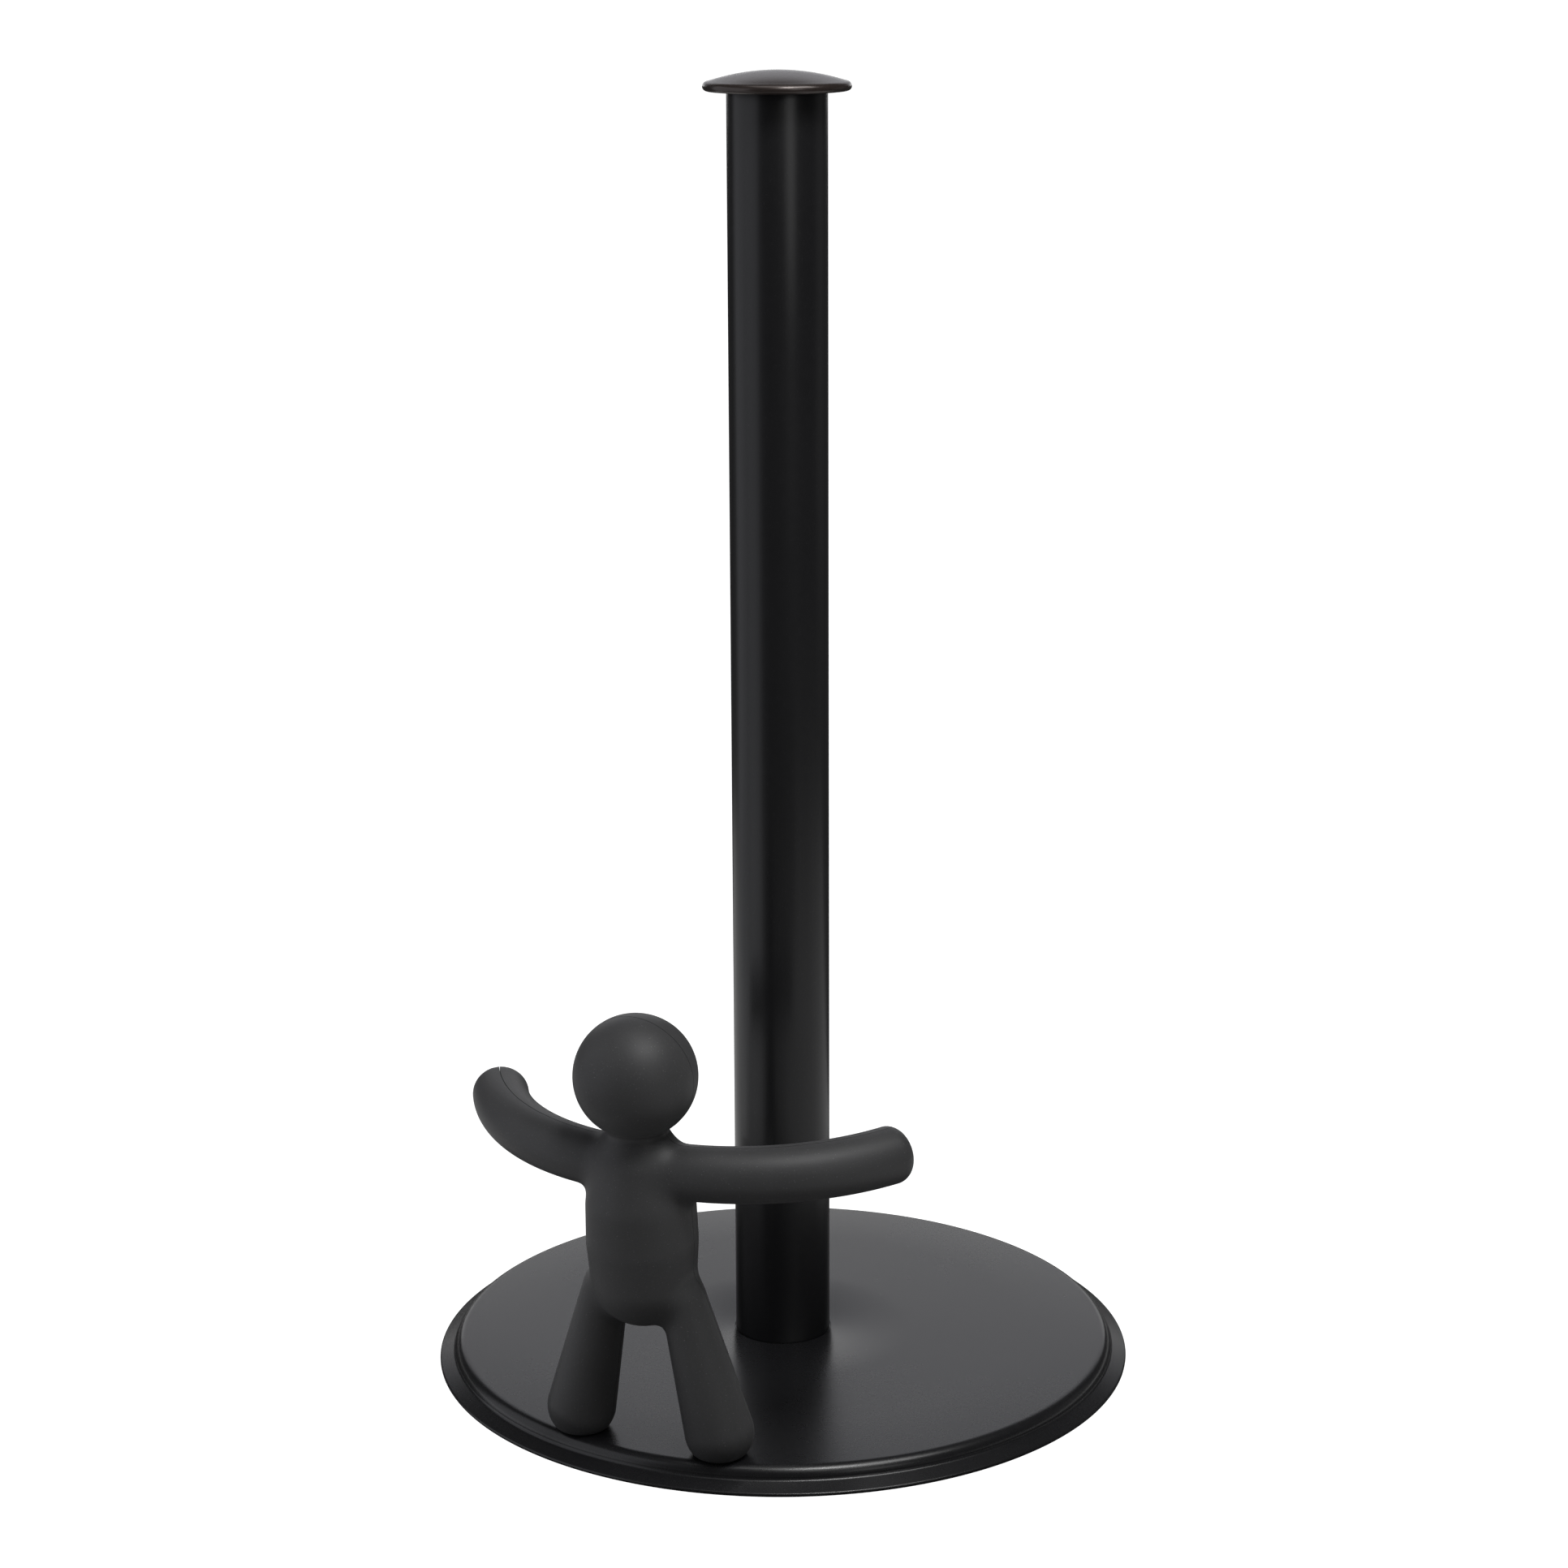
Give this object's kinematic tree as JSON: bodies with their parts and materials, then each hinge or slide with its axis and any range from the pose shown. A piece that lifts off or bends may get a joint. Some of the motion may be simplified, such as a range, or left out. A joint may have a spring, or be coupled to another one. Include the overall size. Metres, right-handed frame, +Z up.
{
  "type": "paper towel holder",
  "caption": "Upright paper towel holder: round weighted base, slim post with a domed cap, and a small plain standing figure whose curved arms reach round the roll.",
  "frame": {"origin": "centre of the base's underside, on the post's axis, on the surface the holder stands on", "axes": "+Z up along the post; the figure stands on the -Y side and faces the post; +X to the figure's left as seen from the post, and the object mirrors across the YZ plane"},
  "size_m": [0.186, 0.1926, 0.3417],
  "materials": {
    "black_powder_coat": "satin black powder coat",
    "black_gloss": "smoother, glossier black than the post",
    "soft_black": "matte soft-touch, very fine grain",
    "plain_steel": "plain mill finish",
    "zinc_steel": "bright zinc plate",
    "brass": "turned",
    "black_nylon": "moulded",
    "black_foam": "matte cellular sheet"
  },
  "bodies": {
    "root": {"base_plate": "black_powder_coat", "base_weight": "plain_steel", "base_pad": "black_foam", "post_tube": "black_powder_coat", "post_foot_plug": "plain_steel", "post_bolt": "zinc_steel", "cap_plug": "black_nylon", "cap_stud": "zinc_steel", "post_cap": "black_gloss", "figure_front_shell": "soft_black", "figure_back_shell": "soft_black", "foot_insert_left": "brass", "foot_insert_right": "brass", "foot_screw_left": "zinc_steel", "foot_screw_right": "zinc_steel"}
  },
  "joints": []
}
